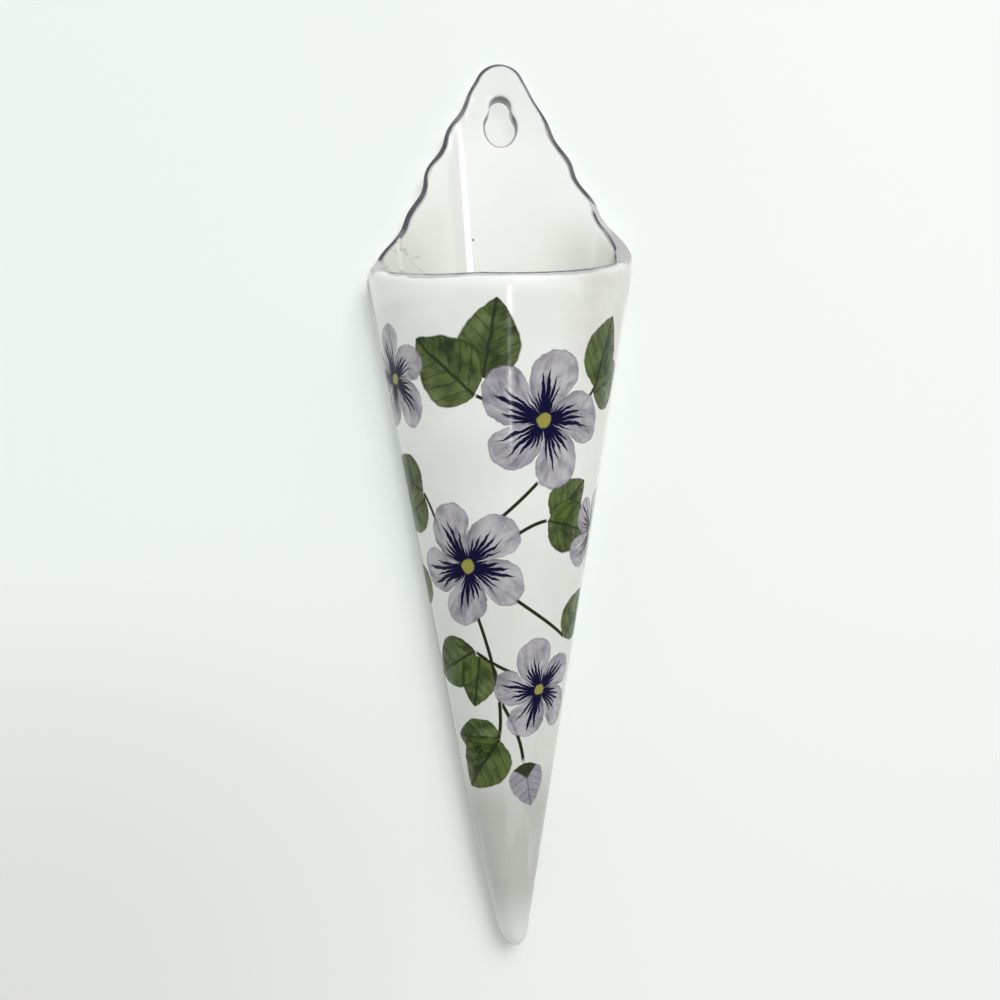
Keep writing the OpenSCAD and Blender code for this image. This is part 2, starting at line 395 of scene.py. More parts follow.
line_at = []
for vert in bm.verts:
    x, y, z = vert.co
    gap = outline_gap(x, z, outer[1 if x >= 0 else -1]) if z > -0.05 else 0.01
    line_at.append(keyhole_line(x, y, z) if by_keyhole(x, z) else crest_line(x, y, z, gap))
    reach = (z - INNER_Z) * math.tan(COIL_FOOT)
    dish, across = 0, 1
    if reach > 0:
        across = min(1, abs(x - BODY_X) / reach)
        dish = DISH_SLOPE * (z - INNER_Z) * (1 - across ** 2) ** 2
    beside_coil = ease(z, -0.022, -0.030) * ease(across, 0.7, 1.0)
    hollow = unevenness(x, z) * ease(gap, 0, 0.003) * (1 - beside_coil)
    # At the fold the face steps back, and it rises again to the left
    fold = FOLD_X + FOLD_LEAN * (FOLD_Z - z)
    step = ease(x, fold + 0.0012, fold - 0.0012) * ease(x, fold - 0.016, fold - 0.003)
    depth = SLAB_T - dish - hollow + FOLD_DEPTH * step * ease(z, 0.000, -0.005)
    if y < -0.0049:
        y += (-SLAB_T - y) * ease(z, -0.0240, -0.0300 if x > 0 else -0.0320)
    vert.co.x, vert.co.y = leaning(x, z), y * depth / SLAB_T
bmesh.ops.recalc_face_normals(bm, faces=bm.faces)
slab_mesh = mesh_of(bm, "Back_slab")
slab_mesh.attributes.new("line_at", "FLOAT", "POINT").data.foreach_set("value", line_at)


def finish_piece(name, mesh, node):
    """Links a mesh as a smooth-shaded piece on the fired body, standing for a CAD node."""
    mesh.shade_smooth()
    mesh.set_sharp_from_angle(angle=math.radians(50))
    obj = link(bpy.data.objects.new(name, mesh))
    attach(obj, "root")
    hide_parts(node)


finish_piece("Back_slab", slab_mesh, "back_slab")

GLAZE_SHADE, GLAZE_LIGHT = (0.80, 0.832, 0.782, 1), (0.855, 0.882, 0.840, 1)
GLAZE_LOW_GREY_AND_SHADE, GLAZE_NEAR_TIP_PAINTED_SHADE = (0.635, 0.66, 0.61, 1), (0.485, 0.50, 0.46, 1)
GLAZE_UPRIGHT_STREAK, GLAZE_POINT_PAINTED_HIGHLIGHT = (0.60, 0.615, 0.57, 1), (0.72, 0.74, 0.70, 1)
LINE_WASH, LINE_DARK = (0.330, 0.320, 0.355, 1), (0.078, 0.075, 0.084, 1)
SLAB_PAINTED_SHEEN, CORNER_STAIN_AND_SHADE = (0.925, 0.945, 0.905, 1), (0.655, 0.675, 0.61, 1)
LEFT_SIDE_PAINTED_SHADE, FOLD_PAINTED_SHADE = (0.24, 0.24, 0.22, 1), (0.66, 0.69, 0.64, 1)
FLECK, CRACK_BROWN, SPECK_BROWN = (0.50, 0.50, 0.45, 1), (0.36, 0.33, 0.25, 1), (0.16, 0.15, 0.12, 1)
SPECK_AT = (-0.0087, 0, -0.0337)
GLAZE_ROUGHNESS, GLAZE_IOR = 0.13, 1.5


def clouds(tree, place, scale, detail, roughness):
    """Soft noise from 0 to 1."""
    return put(tree, "TexNoise", place, None, scale, detail, roughness).outputs[0]


def vector(tree, operation, *values):
    return put(tree, "VectorMath", *values, operation=operation).outputs[0]


def facing_out(tree, y):
    """1 on the front and 0 on the flat rear."""
    return fade(tree, y, -0.0004, -0.0016)


def glaze_base(name):
    """A new material with the glaze's colour: off-white, cooler and greyer down the body, partly as
    painted shade, with painted shade near the tip and a painted highlight at the point.
    """
    material = bpy.data.materials.new(name)
    tree = bare_tree(material)
    place = put(tree, "TexCoord").outputs["Object"]
    y, z = put(tree, "SeparateXYZ", place).outputs[1:]
    front = facing_out(tree, y)
    cloud = clouds(tree, place, 38.0, 3.0, 0.5)
    fleck = clouds(tree, place, 900.0, 2.0, 0.5)
    height = calc(tree, "MULTIPLY_ADD", cloud, 0.03, z)
    # Faint upright darker streaks on the front of the lower body
    upright_streaks = clouds(tree, vector(tree, "MULTIPLY", place, (1, 1, 0.05)), 210.0, 2.0, 0.5)
    upright_streaks = product(tree, fade(tree, upright_streaks, 0.50, 0.68), fade(tree, z, -0.120, -0.190), front, 0.55)
    colour = coats(tree, GLAZE_SHADE, (fade(tree, cloud, 0.35, 0.70), GLAZE_LIGHT),
                   # Darker and greyer down the body: partly the glaze's own tone, partly painted shade
                   (fade(tree, height, -0.045, -0.200), GLAZE_LOW_GREY_AND_SHADE),
                   # Painted shade: the front is darker over its lowest part, down to the tip
                   (product(tree, front, fade(tree, z, -0.184, -0.200)), GLAZE_NEAR_TIP_PAINTED_SHADE),
                   (upright_streaks, GLAZE_UPRIGHT_STREAK),
                   # Painted highlight: the front is paler at the point
                   (product(tree, front, fade(tree, z, -0.220, -0.238)), GLAZE_POINT_PAINTED_HIGHLIGHT),
                   (fade(tree, fleck, 0.80, 0.86), FLECK))
    return tree, material, place, colour


def edge_line(tree, place, colour):
    """The grey-lilac line brushed on crest and rim: dark where line_at is under 1, then a wash."""
    at = put(tree, "Attribute", attribute_name="line_at").outputs["Fac"]
    ragged = clouds(tree, place, 260.0, 2.0, 0.5)
    wet = clouds(tree, place, 120.0, 2.0, 0.5)
    at = calc(tree, "MULTIPLY_ADD", ragged, 0.6, calc(tree, "SUBTRACT", at, 0.3))
    strength = calc(tree, "MULTIPLY_ADD", fade(tree, wet, 0.25, 0.60), 0.35, 0.60)
    return coats(tree, colour, (product(tree, fade(tree, at, 2.3, 1.7), 0.62), LINE_WASH),
                 (product(tree, fade(tree, at, 1.25, 0.85), strength), LINE_DARK))


def glaze_surface(tree, place, colour, roughness=GLAZE_ROUGHNESS):
    """The fired glaze over that colour: glossy, with the faint swell of a dipped coat."""
    bump = put(tree, "Bump")
    swell = clouds(tree, place, 95.0, 2.0, 0.45)
    for name, value in (("Strength", 0.12), ("Distance", 0.0008), ("Height", swell)):
        feed(tree, bump.inputs[name], value)
    # Dark paint soaks up the glaze, so it mirrors less
    tone = put(tree, "RGBToBW", colour).outputs[0]
    gloss = put(tree, "MapRange", tone, 0.06, 0.50, 0.10, 0.50).outputs[0]
    shader = put(tree, "BsdfPrincipled")
    for name, value in (("Base Color", colour), ("Normal", bump.outputs[0]), ("Roughness", roughness),
                        ("IOR", GLAZE_IOR), ("Specular IOR Level", gloss)):
        feed(tree, shader.inputs[name], value)
    put(tree, "OutputMaterial", shader.outputs[0])


tree, white_glaze, place, colour = glaze_base("white_glaze")
x, y, z = put(tree, "SeparateXYZ", place).outputs
front = facing_out(tree, y)
from_middle = calc(tree, "ABSOLUTE", calc(tree, "SUBTRACT", x, BODY_X))
# The slab's low corners by the coils are darker, warmer and less glossy: partly a real stain, partly
# painted shade in the pocket's corners
corner = product(tree, fade(tree, from_middle, 0.008, 0.028), fade(tree, z, -0.020, -0.042),
                 fade(tree, z, -0.060, -0.048), front)
# Painted sheen: the slab's face right of the fold and below the keyhole is paler
painted_sheen = product(tree, fade(tree, x, -0.018, -0.009), fade(tree, z, 0.006, -0.010), front, 0.6)
# The slab's left side is painted darker and greyer down to the tip: painted shade on the side away from
# the lamp
thin = product(tree, fade(tree, x, 0.000, -0.003), fade(tree, z, -0.080, -0.190), front, 0.6)
# A darker strip runs along the left of the fold: painted shade beside the fold's bright streak
by_fold = calc(tree, "MULTIPLY_ADD", z, FOLD_LEAN, -FOLD_X - FOLD_LEAN * FOLD_Z)
by_fold = calc(tree, "ADD", x, by_fold)
fold_shade_strip = product(tree, fade(tree, by_fold, -0.0055, -0.0030), fade(tree, by_fold, -0.0006, -0.0014),
                fade(tree, z, 0.002, -0.008), front, 0.42)
# Fine brown cracks lie in the left corner
shaken = put(tree, "TexNoise", place, None, 300.0, 3.0, 0.6).outputs[1]
shaken = vector(tree, "ADD", place, vector(tree, "MULTIPLY", shaken, (0.004, 0.004, 0.004)))
crack = put(tree, "TexVoronoi", shaken, None, 170.0, feature="DISTANCE_TO_EDGE").outputs["Distance"]
kept = fade(tree, clouds(tree, place, 130.0, 1.0, 0.5), 0.50, 0.58)
crack = product(tree, fade(tree, crack, 0.045, 0.0), fade(tree, x, -0.0150, -0.0215),
                fade(tree, z, -0.030, -0.036), kept, corner, 0.6)
# One dark speck was fired into the face
off = put(tree, "VectorMath", vector(tree, "MULTIPLY", place, (1, 0, 1)), SPECK_AT,
          operation="DISTANCE").outputs["Value"]
speck = product(tree, front, fade(tree, off, 0.00045, 0.00020))
colour = coats(tree, colour, (painted_sheen, SLAB_PAINTED_SHEEN), (corner, CORNER_STAIN_AND_SHADE), (thin, LEFT_SIDE_PAINTED_SHADE),
               (fold_shade_strip, FOLD_PAINTED_SHADE), (crack, CRACK_BROWN), (speck, SPECK_BROWN))
glaze_surface(tree, place, edge_line(tree, place, colour),
              calc(tree, "MULTIPLY_ADD", corner, 0.12, GLAZE_ROUGHNESS))
slab_mesh.materials.append(white_glaze)

# Front wall: one sheet of clay bent to a half cone and luted to the slab by its long edges. The
# outside and inside are cones on one axis that leans to the slab; the upper edge slopes down to the
# front, is swept up where it meets the slab, and is rounded over.
LEAN = math.radians(1.5)
CONE = math.acos(math.cos(SEAM) * math.cos(LEAN))
AXIS = Vector((0, math.sin(LEAN), math.cos(LEAN)))
OUTER_APEX = Vector((BODY_X, -SLAB_T, APEX_Z))
INNER_APEX = Vector((BODY_X, -SLAB_T, INNER_Z))
FLOOR_Z = 0.029 - TIP_DROP
RIM_DROP, RIM_TILT, SWEEP_R = 0.0499, math.radians(20), 0.012
RIM_LOWER_LEFT = 0.0026
RIM_Y = -SLAB_T - (-RIM_DROP - INNER_Z) * math.tan(CONE - LEAN)
RIM_BACK_Z = -RIM_DROP + (-SLAB_T - RIM_Y) * math.tan(RIM_TILT)
SWEEP_LEG = SWEEP_R / math.tan((math.pi / 2 + RIM_TILT) / 2)
HALF_SPIN = math.acos(math.tan(LEAN) / math.tan(CONE))
# Rows of points up the outside, over the shoulder, across the top, down the inner edge and inside
WALL_ROWS, SHOULDER_ROWS, EDGE_ROWS, WALL_STEPS = 92, 5, 3, 144
ROWS = 2 * WALL_ROWS + SHOULDER_ROWS + 1 + EDGE_ROWS
SEAM_WAY = Vector((math.sin(SEAM), 0, math.cos(SEAM)))
ROUND_OUT, ROUND_IN = 0.0030, 0.0010
# Inside, the coil hides the wall this far round from the seam, and there its rim isn't rounded
COIL_ANGLE = math.radians(1.6)
COIL_AXIS = Matrix.Rotation(COIL_FOOT, 3, "Y") @ Matrix.Rotation(COIL_ANGLE, 3, "X") @ Vector((0, 0, 1))
COIL_TOP_WAY = Matrix.Rotation(CONE, 3, AXIS.cross(COIL_AXIS).normalized()) @ AXIS


def rim_z(x, y):
    """Height of the rim: it slopes to the front, sweeps up to the slab, and is lower at the left."""
    out = -SLAB_T - y
    lower = RIM_LOWER_LEFT * min(1, max(0, (-x - 0.009) / 0.025))
    if out < SWEEP_LEG * math.cos(RIM_TILT):
        arc = math.sqrt(max(0, SWEEP_R ** 2 - (max(0, out) - SWEEP_R) ** 2))
        return RIM_BACK_Z + SWEEP_LEG - arc - lower
    return RIM_BACK_Z - out * math.tan(RIM_TILT) - lower


def rim_reach(apex, way, side=1):
    """How far along a line from an apex the rim is met; side -1 takes the line mirrored."""
    low, high = 0, 0.4
    for _ in range(36):
        mid = (low + high) / 2
        p = apex + way * mid
        below = p.z < rim_z(BODY_X + side * (p.x - BODY_X), p.y)
        low, high = (mid, high) if below else (low, mid)
    return low


def inside_outline(p, margin=0):
    """The same point, drawn in to the slab's outline where the rim is swept up past the corner."""
    side = 1 if p.x >= 0 else -1
    return Vector((side * min(abs(p.x), edge_w(p.z, side) - margin), p.y, p.z))


def bend(start, corner, end, t):
    """A point on the soft curve from start to end that rounds off a corner."""
    return start.lerp(corner, t).lerp(corner.lerp(end, t), t)


def square_to(axis, way):
    """The part of a direction that points straight out from an axis."""
    return (way - axis * way.dot(axis)).normalized()


hidden_turn = square_to(AXIS, SEAM_WAY).angle(square_to(AXIS, COIL_TOP_WAY))


def wall_turn(column):
    """Turn of a column from the right seam, closer near the seams, where the rim is steep."""
    part = column / WALL_STEPS
    return 2 * HALF_SPIN * (part - 0.9 * math.sin(math.tau * part) / math.tau)


def wall_way(column):
    return Matrix.Rotation(-wall_turn(column), 3, AXIS) @ SEAM_WAY


def spun_grid(rows, steps):
    """A bmesh whose vertices run in columns of rows, made by spinning one row of points."""
    bm = bmesh.new()
    chain = [bm.verts.new((0.02 + 0.001 * k, 0, 0)) for k in range(rows)]
    edges = [bm.edges.new(chain[k:k + 2]) for k in range(rows - 1)]
    bmesh.ops.spin(bm, geom=chain + edges, axis=(0, 0, 1), angle=3, steps=steps, use_merge=False)
    bm.verts.ensure_lookup_table()
    return bm


def close_up(bm):
    """Fills what is open, and turns the faces outwards."""
    bmesh.ops.remove_doubles(bm, verts=bm.verts, dist=1e-5)
    bmesh.ops.dissolve_degenerate(bm, edges=bm.edges, dist=2e-5)
    bmesh.ops.holes_fill(bm, edges=[e for e in bm.edges if e.is_boundary], sides=0)
    for _ in range(3):
        # Slivers where a thin edge meets itself are drawn together
        odd = [e for e in bm.edges if len(e.link_faces) % 2 and e.calc_length() < 0.0005]
        bmesh.ops.collapse(bm, edges=odd)
        bmesh.ops.dissolve_degenerate(bm, edges=bm.edges, dist=2e-6)
    bmesh.ops.recalc_face_normals(bm, faces=bm.faces)


def skin_point(way, reach):
    """A point of the front's outer skin, with the small hollows of a hand-built piece."""
    p = OUTER_APEX + way * reach
    normal = square_to(AXIS, way) * math.cos(CONE) - AXIS * math.sin(CONE)
    turn = math.atan2(way.x, -way.y)
    off_seam = 1 - ease(abs(turn), 1.30, 1.42)
    return p - normal * off_seam * unevenness(turn * 0.03, p.z, 0.00012)


def rim_line(p, edge, row, turn):
    """The line on the rim: a stroke inside its top, a wash at the corners, a smear at the left."""
    from_seam = min(turn, 2 * HALF_SPIN - turn)
    gap = (p - edge).length
    wash = 1.5 + 2 * ease(from_seam, 0.12, 0.55) + 2 * ease(gap, 0.0024, 0.0070)
    if from_seam < hidden_turn:
        return wash
    if row > WALL_ROWS + SHOULDER_ROWS:
        return gap / 0.0006
    thick = 1 + 0.3 * noise.noise((p.x * 90, 2.2, 0))
    stroke = gap / (0.0006 + 0.0017 * ease(from_seam, 0.15, 0.50) * thick)
    smear = 9
    if p.x < 0:
        smear = 1.3 + abs(gap - 0.0031) / 0.0005 + 3 * ease(abs(p.x + 0.021), 0.006, 0.010)
    return min(drawn_in(stroke, 3), wash, smear)


# Each point of the outer skin also keeps its place on the sheet laid flat, for the painting
OFF_SHEET = 9
bm = spun_grid(ROWS, WALL_STEPS)
line_layer = bm.verts.layers.float.new("line_at")
sheet_layer = bm.verts.layers.float_vector.new("sheet_at")
bm.verts.ensure_lookup_table()
for column in range(WALL_STEPS + 1):
    turn, way = wall_turn(column), wall_way(column)
    out_top, in_top = rim_reach(OUTER_APEX, way), rim_reach(INNER_APEX, way)
    out_low, in_low = (FLOOR_Z - APEX_Z) / way.z, (FLOOR_Z - INNER_Z) / way.z
    rim_out, rim_in = OUTER_APEX + way * out_top, INNER_APEX + way * in_top
    from_seam = min(turn, 2 * HALF_SPIN - turn)
    soft_in = ROUND_IN * ease(from_seam, 0.6 * hidden_turn, 1.05 * hidden_turn)
    points = []
    for k in range(WALL_ROWS):
        reach = out_low + (out_top - ROUND_OUT - out_low) * k / (WALL_ROWS - 1)
        points.append(skin_point(way, reach))
    below, shoulder = points[-1], rim_out.lerp(rim_in, 0.60)
    points += [bend(below, rim_out, shoulder, k / SHOULDER_ROWS) for k in range(1, SHOULDER_ROWS + 1)]
    inner_edge = INNER_APEX + way * (in_top - soft_in)
    across = rim_in + (rim_out - rim_in).normalized() * soft_in
    points.append(across)
    points += [bend(across, rim_in, inner_edge, k / (EDGE_ROWS + 1)) for k in range(1, EDGE_ROWS + 1)]
    for k in range(WALL_ROWS):
        reach = in_top - soft_in + (in_low - in_top + soft_in) * k / (WALL_ROWS - 1)
        points.append(INNER_APEX + way * reach)
    spread = (HALF_SPIN - turn) * math.sin(CONE)
    for row, p in enumerate(points):
        vert = bm.verts[column * ROWS + row]
        p.x = leaning(p.x, p.z)
        margin = 0 if row < WALL_ROWS else 0.0003 * min(1, (row - WALL_ROWS) / 5)
        vert.co = inside_outline(p, margin)
        vert[line_layer] = rim_line(p, rim_in, row, turn)
        length = (p - OUTER_APEX).length if row < WALL_ROWS + SHOULDER_ROWS else OFF_SHEET
        vert[sheet_layer] = (length * math.sin(spread), length * math.cos(spread), 0)
bottom = []
for column in range(WALL_STEPS):
    for row in (0, ROWS - 1):
        ends = bm.verts[column * ROWS + row], bm.verts[(column + 1) * ROWS + row]
        bottom.append(bm.edges.get(ends))
bmesh.ops.bridge_loops(bm, edges=bottom)
close_up(bm)
front_mesh = mesh_of(bm, "Front_wall")
finish_piece("Front_wall", front_mesh, "front_wall")

# The painting is brushed on under the glaze: five-petalled flowers with dark rays round a small eye,
# plain pointed leaves, thin stems and buds. Places are in metres on the wall's sheet laid flat, across
# from its middle line and up from the apex. Flower: across, up, radius, turn. Leaf or bud: across, up,
# length, turn, and 0 for a leaf or 1 for a bud. Stem: start, bend and end.
FLOWERS = ((0.0095, 0.1765, 0.0205, 0.3), (-0.0120, 0.1365, 0.0195, 1.1), (0.0085, 0.1010, 0.0155, 2.0),
           (-0.0390, 0.1870, 0.0165, 0.8), (0.0330, 0.1425, 0.0150, 0.1))
LEAVES = ((-0.0095, 0.1835, 0.0235, 2.45, 0), (0.0280, 0.1850, 0.0215, 1.15, 0),
          (-0.0280, 0.1560, 0.0200, 2.90, 0), (0.0110, 0.1490, 0.0190, -0.30, 0),
          (-0.0105, 0.1125, 0.0190, 3.75, 0), (0.0185, 0.1140, 0.0165, 0.85, 0),
          (-0.0035, 0.0870, 0.0190, 4.15, 0), (-0.0290, 0.1320, 0.0150, 4.0, 0))
UNDER_LEAVES = ((-0.0070, 0.1880, 0.0215, 1.40, 0), (0.0275, 0.1830, 0.0190, 0.35, 0),
                (-0.0270, 0.1540, 0.0180, 3.70, 0), (-0.0090, 0.1110, 0.0150, 4.60, 0),
                (0.0120, 0.1500, 0.0160, 0.60, 0), (-0.0030, 0.0880, 0.0150, 3.30, 0),
                (0.0040, 0.0800, 0.0135, 4.85, 1))
STEMS = (((-0.0035, 0.0870), (-0.0010, 0.1020), (-0.0115, 0.1280)),
         ((0.0035, 0.0800), (0.0030, 0.0890), (-0.0040, 0.1000)),
         ((-0.0105, 0.1125), (-0.0040, 0.1085), (0.0020, 0.1060)),
         ((-0.0030, 0.1500), (0.0040, 0.1560), (0.0080, 0.1600)),
         ((-0.0280, 0.1560), (-0.0240, 0.1520), (-0.0210, 0.1440)),
         ((0.0280, 0.1850), (0.0255, 0.1820), (0.0220, 0.1795)),
         ((0.0185, 0.1140), (0.0130, 0.1190), (-0.0020, 0.1300)),
         ((0.0110, 0.1490), (0.0060, 0.1490), (-0.0020, 0.1430)),
         ((-0.0095, 0.1835), (-0.0060, 0.1820), (0.0000, 0.1790)))
STEM_GREEN, LEAF_DARK = (0.014, 0.022, 0.005, 1), (0.009, 0.022, 0.002, 1)
LEAF_LIGHT, LEAF_THIN = (0.088, 0.128, 0.028, 1), (0.150, 0.195, 0.070, 1)
LEAF_EDGE, LEAF_RIB = (0.014, 0.030, 0.003, 1), (0.010, 0.020, 0.004, 1)
BUD_SHADE, BUD_LILAC = (0.15, 0.14, 0.18, 1), (0.43, 0.415, 0.445, 1)
BUD_VEIN, BUD_CUP = (0.05, 0.05, 0.10, 1), (0.020, 0.032, 0.008, 1)
PETAL_LILAC, PETAL_SHADE = (0.405, 0.390, 0.425, 1), (0.092, 0.083, 0.118, 1)
RAY_BLUE, EYE_YELLOW = (0.002, 0.002, 0.030, 1), (0.29, 0.27, 0.055, 1)
RIM_PAINTED_LIGHT, DULL_GLAZE = (0.94, 0.955, 0.92, 1), (0.66, 0.66, 0.60, 1)
# A bud is numbered from here up, and a leaf under 7
BUD_NUMBER = 50


def turned(at, place, size, turn):
    """A point on the sheet as seen from a motif: along it and across it, in its own size."""
    dx, dy = at[0] - place[0], at[1] - place[1]
    along, across = dx * math.cos(turn) + dy * math.sin(turn), dy * math.cos(turn) - dx * math.sin(turn)
    return along / size, across / size


def along_stem(at, stem):
    """How far along a stem a point is, from 0 to 1, and how far to its side in millimetres."""
    a, b, c = (Vector(p) for p in stem)
    dots = [bend(a, b, c, k / 10) for k in range(11)]
    best = None
    for k in range(10):
        run = dots[k + 1] - dots[k]
        t = (Vector(at) - dots[k]).dot(run) / run.length_squared
        t = min(1 if k < 9 else 9, max(0 if k else -9, t))
        off = Vector(at) - dots[k] - run * t
        if best is None or off.length < best[0]:
            best = (off.length, (k + t) / 10, run.normalized().cross(off) * 1000)
    return best[1], best[2]


def stem_gap(at, stem):
    """Distance from a stem in millimetres, with much added past its ends."""
    along, aside = along_stem(at, stem)
    return abs(aside) + 40 * max(0, abs(along - 0.5) - 0.5)


def leaf_gap(at, leaf):
    """Distance from a leaf's middle line in metres."""
    x, y = turned(at, leaf[:2], leaf[2], leaf[3])
    return math.hypot(x - min(0.85, max(0.15, x)), y) * leaf[2]


sheet_points = [tuple(v.vector)[:2] for v in front_mesh.attributes["sheet_at"].data]
flower_at, leaf_at, under_at, stem_at = [], [], [], []
for face in front_mesh.polygons:
    spots = [sheet_points[i] for i in face.vertices]
    middle = [sum(values) / len(spots) for values in zip(*spots)]
    if max(p[1] for p in spots) > 1:
        middle = (OFF_SHEET, OFF_SHEET)
        spots = [middle] * len(spots)
    number, flower = min(enumerate(FLOWERS), key=lambda f: math.dist(middle, f[1][:2]) / f[1][2])
    nearest = [min(kind, key=lambda leaf: leaf_gap(middle, leaf)) for kind in (LEAVES, UNDER_LEAVES)]
    stem = min(STEMS, key=lambda stem: math.dist(middle, stem[1]))
    if math.dist(middle, stem[1]) < 0.03:
        stem = min(STEMS, key=lambda stem: stem_gap(middle, stem))
    for spot in spots:
        flower_at += [*turned(spot, flower[:2], flower[2], flower[3]), number]
        for layer, (across, up, size, turn, bud) in zip((leaf_at, under_at), nearest):
            layer += [*turned(spot, (across, up), size, turn), 1000 * up % 7 + BUD_NUMBER * bud]
        stem_at += [*(along_stem(spot, stem) if spot[0] < 1 else spot), 0]
for name, values in (("flower_at", flower_at), ("leaf_at", leaf_at), ("under_at", under_at),
                     ("stem_at", stem_at)):
    front_mesh.attributes.new(name, "FLOAT_VECTOR", "CORNER").data.foreach_set("vector", values)
front_mesh.attributes.remove(front_mesh.attributes["sheet_at"])


def motif(tree, name, wobble):
    """A motif's own place on the sheet, its x, y and number, shaken a little as by a brush."""
    at = put(tree, "Attribute", attribute_name=name).outputs["Vector"]
    shake = put(tree, "TexNoise", at, None, 4.5, 2.0, 0.6).outputs[1]
    shake = vector(tree, "SUBTRACT", shake, (0.5, 0.5, 0.5))
    shake = vector(tree, "MULTIPLY", shake, (wobble, wobble, 0))
    return put(tree, "SeparateXYZ", vector(tree, "ADD", at, shake)).outputs


def joined(tree, x, y, z):
    return put(tree, "CombineXYZ", x, y, z).outputs[0]


def random_of(tree, number, factor):
    number = calc(tree, "MULTIPLY_ADD", number, factor, 0.37)
    return put(tree, "TexWhiteNoise", None, number, noise_dimensions="1D").outputs[0]


def off_middle(tree, value):
    """How far a value is from the middle of its step, from 0 to 0.5."""
    return calc(tree, "ABSOLUTE", calc(tree, "SUBTRACT", calc(tree, "FRACT", value), 0.5))


def paint_stems(tree, colour):
    along, aside, _ = motif(tree, "stem_at", 0.0)
    stroke = product(tree, fade(tree, along, -0.02, 0.10), fade(tree, along, 1.02, 0.92),
                     fade(tree, calc(tree, "ABSOLUTE", aside), 0.62, 0.36))
    return coats(tree, colour, (stroke, STEM_GREEN))


def paint_leaves(tree, colour, layer):
    """Pointed leaves and buds with slanting ribs, brushed in two tones and darker at the edge."""
    x, y, number = motif(tree, layer, 0.07)
    side = calc(tree, "ABSOLUTE", y)
    along = calc(tree, "MAXIMUM", calc(tree, "MINIMUM", x, 1.0), 0.0)
    swell = calc(tree, "SINE", product(tree, calc(tree, "POWER", along, 0.72), math.pi))
    width = product(tree, calc(tree, "POWER", calc(tree, "MAXIMUM", swell, 0.0), 0.75), 0.42)
    room = calc(tree, "SUBTRACT", width, side)
    ribs = product(tree, calc(tree, "SUBTRACT", x, product(tree, side, 0.7)), 6.0)
    rib = fade(tree, off_middle(tree, ribs), 0.10, 0.03)
    middle = fade(tree, side, 0.030, 0.010)
    strokes = joined(tree, product(tree, ribs, 0.6), product(tree, y, 3.0), number)
    brushed = clouds(tree, strokes, 1.6, 3.0, 0.6)
    far_half = product(tree, fade(tree, y, -0.02, 0.02), 0.30)
    tone = calc(tree, "ADD", fade(tree, brushed, 0.30, 0.72), far_half)
    thin = fade(tree, clouds(tree, joined(tree, x, y, number), 2.2, 2.0, 0.5), 0.46, 0.70)
    veins = product(tree, calc(tree, "MAXIMUM", product(tree, rib, 0.6), middle), 0.9)
    green = coats(tree, LEAF_DARK, (tone, LEAF_LIGHT), (product(tree, thin, 0.8), LEAF_THIN),
                  (fade(tree, room, 0.06, 0.0), LEAF_EDGE), (veins, LEAF_RIB))
    veins = product(tree, calc(tree, "MAXIMUM", rib, middle), 0.5)
    cup = fade(tree, calc(tree, "MULTIPLY_ADD", side, 0.8, x), 0.36, 0.30)
    lilac = coats(tree, BUD_SHADE, (brushed, BUD_LILAC), (veins, BUD_VEIN), (cup, BUD_CUP))
    is_bud = calc(tree, "GREATER_THAN", number, BUD_NUMBER - 10.0)
    mask = product(tree, fade(tree, room, 0.0, 0.035), 0.985)
    return coats(tree, colour, (mask, coats(tree, green, (is_bud, lilac))))


